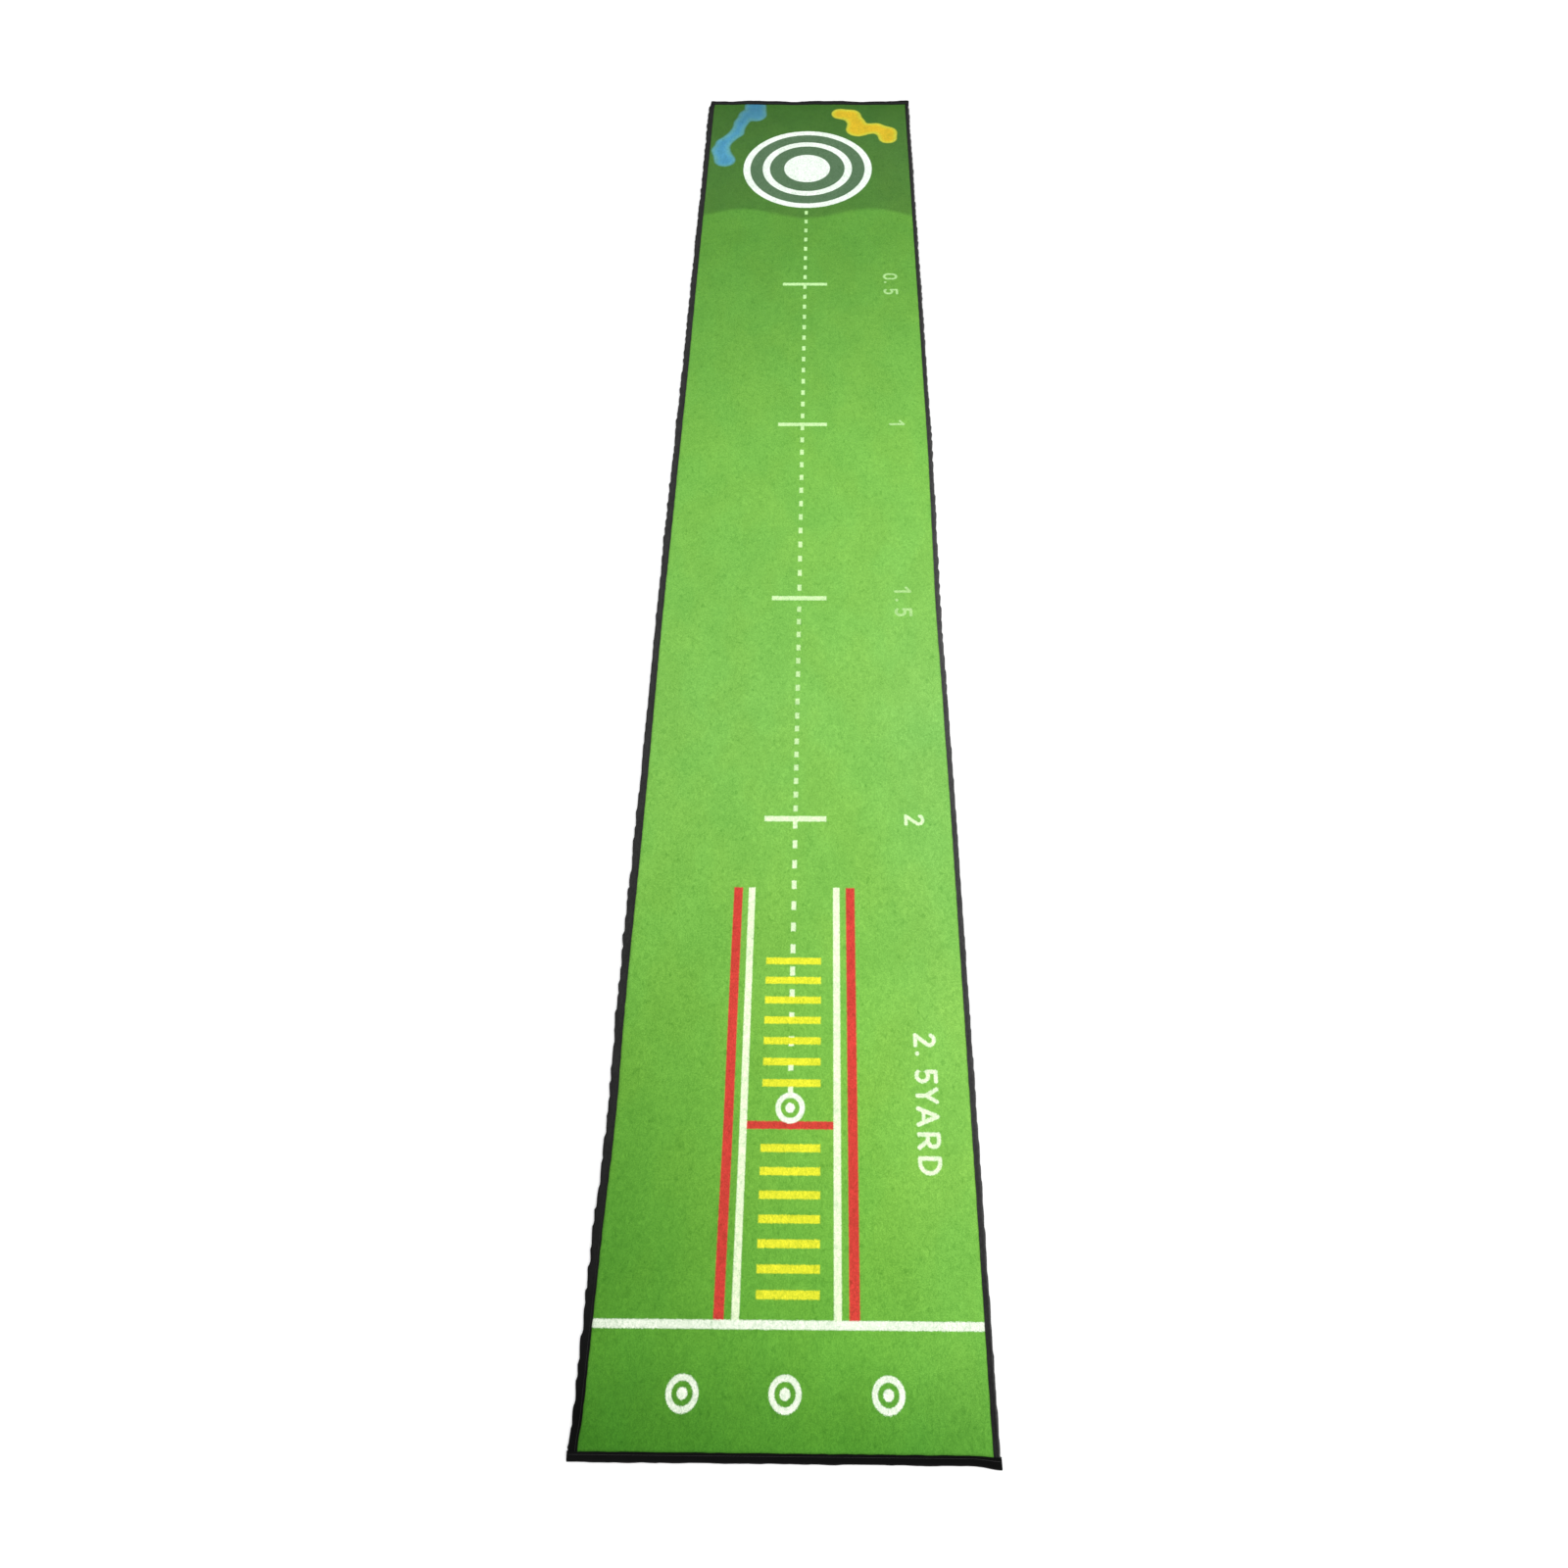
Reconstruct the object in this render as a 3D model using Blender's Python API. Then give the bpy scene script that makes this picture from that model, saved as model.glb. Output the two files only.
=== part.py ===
"""Roll-out practice putting mat, 3.00 m long and 0.54 m wide.

A laminate of printed velour, adhesive web, felt interlining and a thicker anti-slip
rubber backing, bound on all four edges with a woven tape that is folded round the edge
and sewn through with a lockstitch (a needle thread above and a bobbin thread below).

Frame: X across the mat, Y along it with the target at +Y and the player at -Y, Z up.
The origin is on the floor at the middle of the mat. Metres.
"""
import math

import bpy
import bmesh
from mathutils import Vector

# ---------------------------------------------------------------- driving dimensions
LENGTH = 3.000              # overall, along Y, over the binding
WIDTH = 0.540               # overall, along X, over the binding
GAP = 0.0003                # clearance kept between neighbouring pieces

TAPE_T = 0.0004             # binding tape thickness
TAPE_LEG_LEFT = 0.0120      # visible leg of the tape on the left edge
TAPE_LEG_RIGHT = 0.0085     # the tape on the right edge is set further out
TAPE_LEG_END = 0.0110       # both end tapes
TAPE_ROLL_R = 0.0014        # outer radius where the tape rolls over the edge
ROLL_STEPS = 6              # facets of each rolled corner

THREAD_D = 0.0003           # sewing thread
SEAM_INSET = 0.0030         # seam line, measured in from the tape's inner edge

RUBBER_T = 0.0029           # backing thickness in the field
FELT_T = 0.0005             # needle-felt interlining
FILM_T = 0.0002             # hot-melt adhesive web
PILE_T = 0.0022             # velour, ground and pile together

# ---------------------------------------------------------------- heights of the stack
Z_BOBBIN_END = 0.0001                        # lowest point of the end bobbin threads
Z_END_LOW = Z_BOBBIN_END + THREAD_D + GAP    # underside of the end tapes
Z_SIDE_LOW = Z_END_LOW + TAPE_T + GAP        # underside of the side tapes
Z_RUBBER_SIDE = Z_SIDE_LOW + TAPE_T + GAP    # rubber pressed thin inside a side tape
Z_RUBBER_END = Z_END_LOW + TAPE_T + GAP      # rubber pressed thin inside an end tape
Z_FELT = RUBBER_T + GAP
Z_FILM = Z_FELT + FELT_T + GAP
Z_PILE = Z_FILM + FILM_T + GAP
Z_TOP = Z_PILE + PILE_T
PILE_SIDE_T = 0.0005                         # pile crushed under a side tape
Z_SIDE_TOP = Z_PILE + PILE_SIDE_T + GAP + TAPE_T
Z_END_TOP = Z_SIDE_TOP + GAP + TAPE_T

# ---------------------------------------------------------------- plan positions
CORE_X = WIDTH / 2 - TAPE_T - GAP            # half width of the laminate
CORE_Y = LENGTH / 2 - TAPE_T - GAP           # half length of the laminate
FIELD_LEFT = -WIDTH / 2 + TAPE_LEG_LEFT + GAP
FIELD_RIGHT = WIDTH / 2 - TAPE_LEG_RIGHT - GAP
FIELD_Y = LENGTH / 2 - TAPE_LEG_END - GAP

for old in list(bpy.data.objects):
    bpy.data.objects.remove(old, do_unlink=True)

scene = bpy.context.scene
scene.unit_settings.system = "METRIC"
mat_collection = bpy.data.collections.new("practice_putting_mat")
cutter_collection = bpy.data.collections.new("cutters")
scene.collection.children.link(mat_collection)
scene.collection.children.link(cutter_collection)

assembly = bpy.data.objects.new("putting_mat_assembly", None)
assembly.empty_display_size = 0.1
mat_collection.objects.link(assembly)


# ---------------------------------------------------------------- helpers
def make_material(name, colour, roughness, metallic=0.0):
    """A Principled material with the piece's own colour."""
    material = bpy.data.materials.new(name)
    material.use_nodes = True
    shader = material.node_tree.nodes["Principled BSDF"]
    shader.inputs["Base Color"].default_value = (*colour, 1.0)
    shader.inputs["Roughness"].default_value = roughness
    shader.inputs["Metallic"].default_value = metallic
    material.diffuse_color = (*colour, 1.0)
    return material


def box_mesh(name, low, high):
    """A closed box between two opposite corners, in the mat's frame."""
    low = Vector(low)
    high = Vector(high)
    mesh = bpy.data.meshes.new(name)
    bm = bmesh.new()
    bmesh.ops.create_cube(bm, size=1.0)
    bmesh.ops.scale(bm, vec=high - low, verts=bm.verts)
    bmesh.ops.translate(bm, vec=(low + high) / 2, verts=bm.verts)
    bm.to_mesh(mesh)
    bm.free()
    return mesh


def add_box(name, low, high, material):
    """A slab of the laminate."""
    body = bpy.data.objects.new(name, box_mesh(name, low, high))
    body.data.materials.append(material)
    body.parent = assembly
    mat_collection.objects.link(body)
    return body


def add_cutter(name, low, high):
    """A box that is taken away from a slab."""
    cutter = bpy.data.objects.new(name, box_mesh(name, low, high))
    cutter.hide_render = True
    cutter.display_type = "WIRE"
    cutter_collection.objects.link(cutter)
    return cutter


def cut(body, cutter):
    """Take the cutter away from the body."""
    modifier = body.modifiers.new("cut_" + cutter.name, "BOOLEAN")
    modifier.operation = "DIFFERENCE"
    modifier.solver = "EXACT"
    modifier.object = cutter


def border_cutters(prefix, side_low, side_high, end_low, end_high):
    """Four boxes that thin a slab where the side tapes and the end tapes grip it."""
    out = 0.02
    far_x = WIDTH / 2 + out
    far_y = LENGTH / 2 + out
    return [
        add_cutter(prefix + "_left", (-far_x, -far_y, side_low), (FIELD_LEFT, far_y, side_high)),
        add_cutter(prefix + "_right", (FIELD_RIGHT, -far_y, side_low), (far_x, far_y, side_high)),
        add_cutter(prefix + "_near", (-far_x, -far_y, end_low), (far_x, -FIELD_Y, end_high)),
        add_cutter(prefix + "_far", (-far_x, FIELD_Y, end_low), (far_x, far_y, end_high)),
    ]


def arc(centre, radius, start, stop, steps):
    """Points of an arc in the section plane, angles in degrees."""
    points = []
    for k in range(steps + 1):
        angle = math.radians(start + (stop - start) * k / steps)
        x = centre[0] + radius * math.cos(angle)
        y = centre[1] + radius * math.sin(angle)
        points.append((x, y))
    return points


def folded_section(leg, low, high):
    """Outline of a tape folded round an edge.

    The fold's outer face is at 0 and both legs reach inwards to +leg, between the
    heights low and high. The outline runs round the outside and back along the inside.
    """
    r = TAPE_ROLL_R
    inner_r = r - TAPE_T
    outer = [(leg, high)]
    outer += arc((r, high - r), r, 90, 180, ROLL_STEPS)
    outer += arc((r, low + r), r, 180, 270, ROLL_STEPS)
    outer += [(leg, low)]
    inner = [(leg, low + TAPE_T)]
    inner += arc((r, low + r), inner_r, 270, 180, ROLL_STEPS)
    inner += arc((r, high - r), inner_r, 180, 90, ROLL_STEPS)
    inner += [(leg, high - TAPE_T)]
    return outer + inner


def add_tape(name, leg, low, high, length, location, turn, material):
    """A length of folded tape: its section is drawn flat and extruded to both sides."""
    outline = folded_section(leg, low, high)
    curve = bpy.data.curves.new(name, "CURVE")
    curve.dimensions = "2D"
    curve.fill_mode = "BOTH"
    curve.extrude = length / 2
    spline = curve.splines.new("POLY")
    spline.points.add(len(outline) - 1)
    for point, (x, y) in zip(spline.points, outline):
        point.co = (x, y, 0.0, 1.0)
    spline.use_cyclic_u = True
    curve.materials.append(material)
    tape = bpy.data.objects.new(name, curve)
    tape.rotation_euler = (math.radians(90), 0.0, math.radians(turn))
    tape.location = location
    tape.parent = assembly
    mat_collection.objects.link(tape)
    return tape


def add_thread(name, start, end, material):
    """A straight run of sewing thread."""
    curve = bpy.data.curves.new(name, "CURVE")
    curve.dimensions = "3D"
    curve.bevel_depth = THREAD_D / 2
    curve.bevel_resolution = 2
    curve.use_fill_caps = True
    start = Vector(start)
    end = Vector(end)
    spline = curve.splines.new("POLY")
    spline.points.add(1)
    spline.points[0].co = (*(start - start), 1.0)
    spline.points[1].co = (*(end - start), 1.0)
    curve.materials.append(material)
    thread = bpy.data.objects.new(name, curve)
    thread.location = start
    thread.parent = assembly
    mat_collection.objects.link(thread)
    return thread


# ---------------------------------------------------------------- materials
pile_green = make_material("pile_green", (0.22, 0.46, 0.10), 0.95)
adhesive_clear = make_material("adhesive_clear", (0.72, 0.70, 0.62), 0.60)
felt_grey = make_material("felt_grey", (0.30, 0.30, 0.29), 0.95)
rubber_black = make_material("rubber_black", (0.03, 0.03, 0.032), 0.75)
tape_black = make_material("tape_black", (0.02, 0.02, 0.022), 0.80)
thread_black = make_material("thread_black", (0.025, 0.025, 0.027), 0.55)

# ---------------------------------------------------------------- the laminate
rubber = add_box(
    "rubber_backing",
    (-CORE_X, -CORE_Y, 0.0),
    (CORE_X, CORE_Y, RUBBER_T),
    rubber_black,
)
for cutter in border_cutters("rubber_step", -0.01, Z_RUBBER_SIDE, -0.01, Z_RUBBER_END):
    cut(rubber, cutter)

add_box(
    "felt_interlining",
    (-CORE_X, -CORE_Y, Z_FELT),
    (CORE_X, CORE_Y, Z_FELT + FELT_T),
    felt_grey,
)

add_box(
    "adhesive_web",
    (-CORE_X, -CORE_Y, Z_FILM),
    (CORE_X, CORE_Y, Z_FILM + FILM_T),
    adhesive_clear,
)

pile = add_box(
    "printed_pile",
    (-CORE_X, -CORE_Y, Z_PILE),
    (CORE_X, CORE_Y, Z_TOP),
    pile_green,
)
pile_side = Z_PILE + PILE_SIDE_T
pile_end = Z_END_TOP - TAPE_T - GAP
for cutter in border_cutters("pile_step", pile_side, Z_TOP + 0.01, pile_end, Z_TOP + 0.01):
    cut(pile, cutter)

# ---------------------------------------------------------------- the binding
# The side tapes are as long as the laminate; the end tapes lap over their ends.
add_tape("binding_tape_left", TAPE_LEG_LEFT, Z_SIDE_LOW, Z_SIDE_TOP, 2 * CORE_Y,
         (-WIDTH / 2, 0.0, 0.0), 0, tape_black)
add_tape("binding_tape_right", TAPE_LEG_RIGHT, Z_SIDE_LOW, Z_SIDE_TOP, 2 * CORE_Y,
         (WIDTH / 2, 0.0, 0.0), 180, tape_black)
add_tape("binding_tape_near", TAPE_LEG_END, Z_END_LOW, Z_END_TOP, WIDTH,
         (0.0, -LENGTH / 2, 0.0), 90, tape_black)
add_tape("binding_tape_far", TAPE_LEG_END, Z_END_LOW, Z_END_TOP, WIDTH,
         (0.0, LENGTH / 2, 0.0), -90, tape_black)

# ---------------------------------------------------------------- the seams
# Each side seam stops where the end tape covers it; the end seams run full width.
THREAD_R = THREAD_D / 2
SIDE_RUN = FIELD_Y
END_RUN = WIDTH / 2 - 0.0010
X_LEFT = -WIDTH / 2 + TAPE_LEG_LEFT - SEAM_INSET
X_RIGHT = WIDTH / 2 - TAPE_LEG_RIGHT + SEAM_INSET
Y_END = LENGTH / 2 - TAPE_LEG_END + SEAM_INSET
Z_SIDE_NEEDLE = Z_SIDE_TOP + GAP + THREAD_R
Z_END_NEEDLE = Z_END_TOP + GAP + THREAD_R
Z_SIDE_BOBBIN = Z_SIDE_LOW - GAP - THREAD_R
Z_END_BOBBIN = Z_BOBBIN_END + THREAD_R

for side, x in (("left", X_LEFT), ("right", X_RIGHT)):
    add_thread("needle_thread_" + side, (x, -SIDE_RUN, Z_SIDE_NEEDLE),
               (x, SIDE_RUN, Z_SIDE_NEEDLE), thread_black)
    add_thread("bobbin_thread_" + side, (x, -SIDE_RUN, Z_SIDE_BOBBIN),
               (x, SIDE_RUN, Z_SIDE_BOBBIN), thread_black)

for side, y in (("near", -Y_END), ("far", Y_END)):
    add_thread("needle_thread_" + side, (-END_RUN, y, Z_END_NEEDLE),
               (END_RUN, y, Z_END_NEEDLE), thread_black)
    add_thread("bobbin_thread_" + side, (-END_RUN, y, Z_END_BOBBIN),
               (END_RUN, y, Z_END_BOBBIN), thread_black)
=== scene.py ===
"""Looks of the practice putting mat: printed velour on rubber, bound with black tape.

Every position comes from the frame (X across, Y towards the target, Z up, metres).
"""
import math

import bpy
import numpy as np
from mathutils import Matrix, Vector


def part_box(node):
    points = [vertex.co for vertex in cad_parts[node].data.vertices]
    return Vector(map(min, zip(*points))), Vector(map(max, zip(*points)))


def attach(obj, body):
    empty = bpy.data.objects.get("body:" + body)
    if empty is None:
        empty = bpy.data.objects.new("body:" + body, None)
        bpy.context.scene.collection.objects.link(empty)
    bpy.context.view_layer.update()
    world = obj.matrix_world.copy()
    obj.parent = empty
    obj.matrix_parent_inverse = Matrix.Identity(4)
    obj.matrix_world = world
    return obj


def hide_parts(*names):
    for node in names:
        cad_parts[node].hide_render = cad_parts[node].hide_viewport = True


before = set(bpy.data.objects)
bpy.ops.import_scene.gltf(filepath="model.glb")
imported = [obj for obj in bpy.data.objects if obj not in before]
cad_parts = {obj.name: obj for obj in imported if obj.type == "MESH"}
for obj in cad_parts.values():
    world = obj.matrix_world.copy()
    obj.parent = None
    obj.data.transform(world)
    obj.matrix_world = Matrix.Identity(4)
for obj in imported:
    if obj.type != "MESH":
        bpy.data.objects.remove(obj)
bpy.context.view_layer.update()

# ------------------------------ sizes from the frame
(_, Y0, _), (_, Y1, _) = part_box("binding_tape_near")[0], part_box("binding_tape_far")[1]
X0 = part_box("binding_tape_left")[0][0]
X1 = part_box("binding_tape_right")[1][0]
LEG_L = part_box("binding_tape_left")[1][0] - X0    # width of a tape's upper leg
LEG_R = X1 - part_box("binding_tape_right")[0][0]
LEG_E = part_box("binding_tape_near")[1][1] - Y0
PILE_LOW, PILE_TOP = [corner[2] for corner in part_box("printed_pile")]
FELT_LOW, FELT_TOP = [corner[2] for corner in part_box("felt_interlining")]
WEB_LOW, WEB_TOP = [corner[2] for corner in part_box("adhesive_web")]
RUBBER_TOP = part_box("rubber_backing")[1][2]
CORE_X, CORE_Y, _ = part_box("printed_pile")[1]    # half width and half length of the laminate
LENGTH = Y1 - Y0

# ------------------------------ sizes the frame doesn't hold
TAPE_T = 0.0004    # thickness of the binding tape
THREAD_R = 0.00016
BOBBIN_LEVEL = 0.00028    # middle of a bobbin thread, which clears the floor
SEAM = 0.003    # seam line, in from the tape's inner edge
STITCH = 0.0046    # stitch length
YARD = 0.9144
TARGET_Y = 1.200    # the target's centre, and the zero of the printed scale

# ------------------------------ how the mat lies
SKEW = 0.0105    # the cut's lean out of square, at mid-length
SKEW_CHANGE = -0.0033    # and how it changes per metre
CURL = 0.0078    # rise of the far end's curl in full; the mat ends two thirds along it
CURL_START = 0.024    # how far in from the far edge it begins
CURL_REACH = 0.036
LEFT_DENTS = [    # left edge: (middle, half length, how far it is pulled in)
    (-1.500, 0.140, -0.0012),
    (-1.486, 0.022, -0.0024),
    (-1.100, 0.120, 0.0034),
    (-0.620, 0.300, 0.0012),
    (-0.240, 0.300, -0.0018),
    (0.450, 0.160, 0.001),
]
RIGHT_SWELLS = [    # right edge: (middle, half length, how far it stands out)
    (-0.450, 0.100, -0.0008),
    (-0.200, 0.160, -0.0028),
]


def bump(y, at, width):
    return np.exp(-(((y - at) / width) ** 2))


def bumps(y, places):
    return sum(far * bump(y, at, width) for at, width, far in places)


def ramp(t):
    t = np.clip(t, 0, 1)
    return t * t * (3 - 2 * t)


def near_edge(distance, reach):
    """1 at an edge, falling to 0 at reach from it."""
    return ramp(1 - distance / reach)


def lie(x, y, z):
    """Where a point of the flat, square mat goes once it lies on the floor.

    The cut is slightly out of square, the long edges wander by a few millimetres, and
    the laminate keeps shallow waves from having been rolled.
    """
    left = ramp(-x / X1)
    right = ramp(x / X1)
    pull_in = 0.0011 - 0.0007 * ramp((y + 0.1) / 0.4) + 0.0003 * ramp((y - 0.9) / 0.4)
    pull_in = pull_in + bumps(y, LEFT_DENTS)
    push_out = 0.0009 + 0.0024 * ramp(y / 0.25) + bumps(y, RIGHT_SWELLS)
    drawn = near_edge(X1 - x, 0.035) * near_edge(y - Y0, 0.022)    # near right corner
    tucked = near_edge(x - X0, 0.030) * near_edge(Y1 - y, 0.028)    # far left corner
    stretch = -0.0038 * near_edge(y - Y0 - 0.010, 0.045) - 0.0032 * drawn    # of the near end
    ripple = 1 + 0.16 * np.sin(31 * x) + 0.10 * np.sin(73 * x + 1)
    curl = CURL * ramp((y - Y1 + CURL_START) / CURL_REACH) * ripple
    waves = (0.00018 * (1 + np.sin(5.1 * y + 3.0 * x + 0.6))
             + 0.00022 * (1 + np.sin(11.7 * y - 5.0 * x + 1.9)) * np.abs(x / X1))
    return (x + left * pull_in + right * push_out + 0.0003 * drawn + 0.0048 * tucked,
            y + x * (SKEW + SKEW_CHANGE * y) + stretch,
            z + waves + curl + 0.001 * drawn)


def wander(s, step, seed):
    """A smooth irregular wave along s, about -1 to 1, with humps about 2*step long."""
    knots = np.random.default_rng(seed).uniform(-1, 1, int((s.max() - s.min()) / step) + 6)
    t = (s - s.min()) / step + 1
    i = t.astype(int)
    f = t - i
    a, b, c, d = knots[i - 1], knots[i], knots[i + 1], knots[i + 2]
    return b + 0.5 * f * (c - a + f * (2 * a - 5 * b + 4 * c - d + f * (3 * (b - c) + d - a)))


def scallops(s, low, high, seed):
    """Puckers between stitches: going up along s the edge drifts out, then steps in."""
    rng = np.random.default_rng(seed)
    at = [s.min() - high]
    while at[-1] < s.max() + high:
        at.append(at[-1] + rng.uniform(low, high))
    at = np.array(at)
    depth = rng.uniform(0.35, 1.0, len(at))
    k = np.searchsorted(at, s, side="right") - 1
    t = 1 - (s - at[k]) / (at[np.minimum(k + 1, len(at) - 1)] - at[k])
    return depth[k] * (ramp(t / 0.26) * (1 - t) ** 0.8) * 1.9 - 0.45


def mottle(x, y, step, seed):
    """A smooth irregular surface, about -1 to 1, with humps about 2*step wide."""
    rng = np.random.default_rng(seed)
    i, j = x / step, y / step
    i0, j0 = np.floor(i).astype(int), np.floor(j).astype(int)
    u, v = ramp(i - i0), ramp(j - j0)
    cells = rng.uniform(-1, 1, (i0.max() - i0.min() + 2, j0.max() - j0.min() + 2))
    i0, j0 = i0 - i0.min(), j0 - j0.min()
    near = cells[i0, j0] * (1 - u) + cells[i0 + 1, j0] * u
    far = cells[i0, j0 + 1] * (1 - u) + cells[i0 + 1, j0 + 1] * u
    return near * (1 - v) + far * v


# ------------------------------ mesh building
def make_piece(name, points, faces, uv, uv_name, material, node):
    """One object of the mat, its points bent by lie(), riding on the only body."""
    mesh = bpy.data.meshes.new(name)
    points = np.stack(lie(*np.asarray(points, float).T), axis=1)
    mesh.from_pydata(points.tolist(), [], faces)
    layer = mesh.uv_layers.new(name=uv_name)
    index = np.zeros(len(mesh.loops), np.int32)
    mesh.loops.foreach_get("vertex_index", index)
    layer.data.foreach_set("uv", np.asarray(uv, np.float32)[index].ravel())
    mesh.materials.append(material)
    mesh.validate()
    mesh.shade_smooth()
    mesh.set_sharp_from_angle(angle=math.radians(50))
    piece = bpy.data.objects.new(name, mesh)
    bpy.context.scene.collection.objects.link(piece)
    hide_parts(node)
    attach(piece, "root")
    return piece


def grid_faces(nx, ny, first, upward):
    """Quads of a grid whose points run along x first."""
    faces = []
    for j in range(ny - 1):
        row = first + j * nx
        for i in range(nx - 1):
            a = row + i
            quad = (a, a + 1, a + nx + 1, a + nx)
            faces.append(quad if upward else quad[::-1])
    return faces


def grid_rim(xs, ys, first):
    """The grid's outer points, anticlockwise, with how far round each one is (0 to 4)."""
    nx, ny = len(xs), len(ys)
    u = (np.asarray(xs) - xs[0]) / (xs[-1] - xs[0])
    v = (np.asarray(ys) - ys[0]) / (ys[-1] - ys[0])
    rim = [(first + i, u[i]) for i in range(nx - 1)]
    rim += [(first + j * nx + nx - 1, 1 + v[j]) for j in range(ny - 1)]
    rim += [(first + ny * nx - 1 - i, 3 - u[nx - 1 - i]) for i in range(nx - 1)]
    rim += [(first + (ny - 1 - j) * nx, 4 - v[ny - 1 - j]) for j in range(ny - 1)]
    return rim


def zip_rims(low, high):
    """A wall of triangles between two rims that go round together."""
    faces = []
    i = j = 0
    while i < len(low) or j < len(high):
        a, ta = low[i % len(low)][0], (low + [(0, 4.0)])[min(i + 1, len(low))][1]
        b, tb = high[j % len(high)][0], (high + [(0, 4.0)])[min(j + 1, len(high))][1]
        if j >= len(high) or (i < len(low) and ta <= tb):
            faces.append((a, low[(i + 1) % len(low)][0], b))
            i += 1
        else:
            faces.append((a, high[(j + 1) % len(high)][0], b))
            j += 1
    return faces


def sparse(low, high, step):
    """Grid lines step apart, but close together near both ends, where the mat bends."""
    margin = 0.05
    middle = np.linspace(low + margin, high - margin, max(3, round((high - low) / step)))
    ends = np.linspace(0, margin, 13)[:-1]
    return np.concatenate([low + ends, middle, high - ends[::-1]])


def slab(name, xs, ys, shaped, step, plain, shaped_up, material, node):
    """A closed sheet: one face shaped on a fine grid, the other plain on a coarse one."""
    nx, ny = len(xs), len(ys)
    gx, gy = np.meshgrid(xs, ys)
    fine = np.stack([gx.ravel(), gy.ravel(), shaped(gx, gy).ravel()], axis=1)
    cx, cy = sparse(xs[0], xs[-1], step), sparse(ys[0], ys[-1], step)
    hx, hy = np.meshgrid(cx, cy)
    coarse = np.stack([hx.ravel(), hy.ravel(), plain(hx, hy).ravel()], axis=1)
    points = np.concatenate([fine, coarse])
    faces = grid_faces(nx, ny, 0, shaped_up)
    faces += grid_faces(len(cx), len(cy), nx * ny, not shaped_up)
    top, bottom = grid_rim(xs, ys, 0), grid_rim(cx, cy, nx * ny)
    if not shaped_up:
        top, bottom = bottom, top
    faces += zip_rims(bottom, top)
    return make_piece(name, points, faces, points[:, :2], "flat", material, node)


def loft(name, rings, uv, material, node, folded=False):
    """A closed skin through rings of points; folded rings are a tape's two faces."""
    n, m = rings.shape[:2]
    faces = []
    for k in range(n - 1):
        for i in range(m):
            j = (i + 1) % m
            faces.append((k * m + i, k * m + j, (k + 1) * m + j, (k + 1) * m + i))
    last = (n - 1) * m
    if folded:
        for i in range(m // 2 - 1):
            faces.append((i, m - 1 - i, m - 2 - i, i + 1))
            faces.append((last + i, last + i + 1, last + m - 2 - i, last + m - 1 - i))
    else:
        faces.append(tuple(range(m))[::-1])
        faces.append(tuple(last + i for i in range(m)))
    return make_piece(name, rings.reshape(-1, 3), faces, uv.reshape(-1, 2), "along",
                      material, node)


# ------------------------------ shader building
class Value:
    """A number inside a node graph, with ordinary arithmetic."""

    def __init__(self, graph, socket):
        self.graph = graph
        self.socket = socket

    def op(self, name, *others, clamp=False):
        return self.graph.math(name, self, *others, clamp=clamp)

    def __add__(self, other):
        return self.op("ADD", other)

    def __sub__(self, other):
        return self.op("SUBTRACT", other)

    def __mul__(self, other):
        return self.op("MULTIPLY", other)

    def abs(self):
        return self.op("ABSOLUTE")

    def least(self, other):
        return self.op("MINIMUM", other)

    def most(self, other):
        return self.op("MAXIMUM", other)


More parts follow.
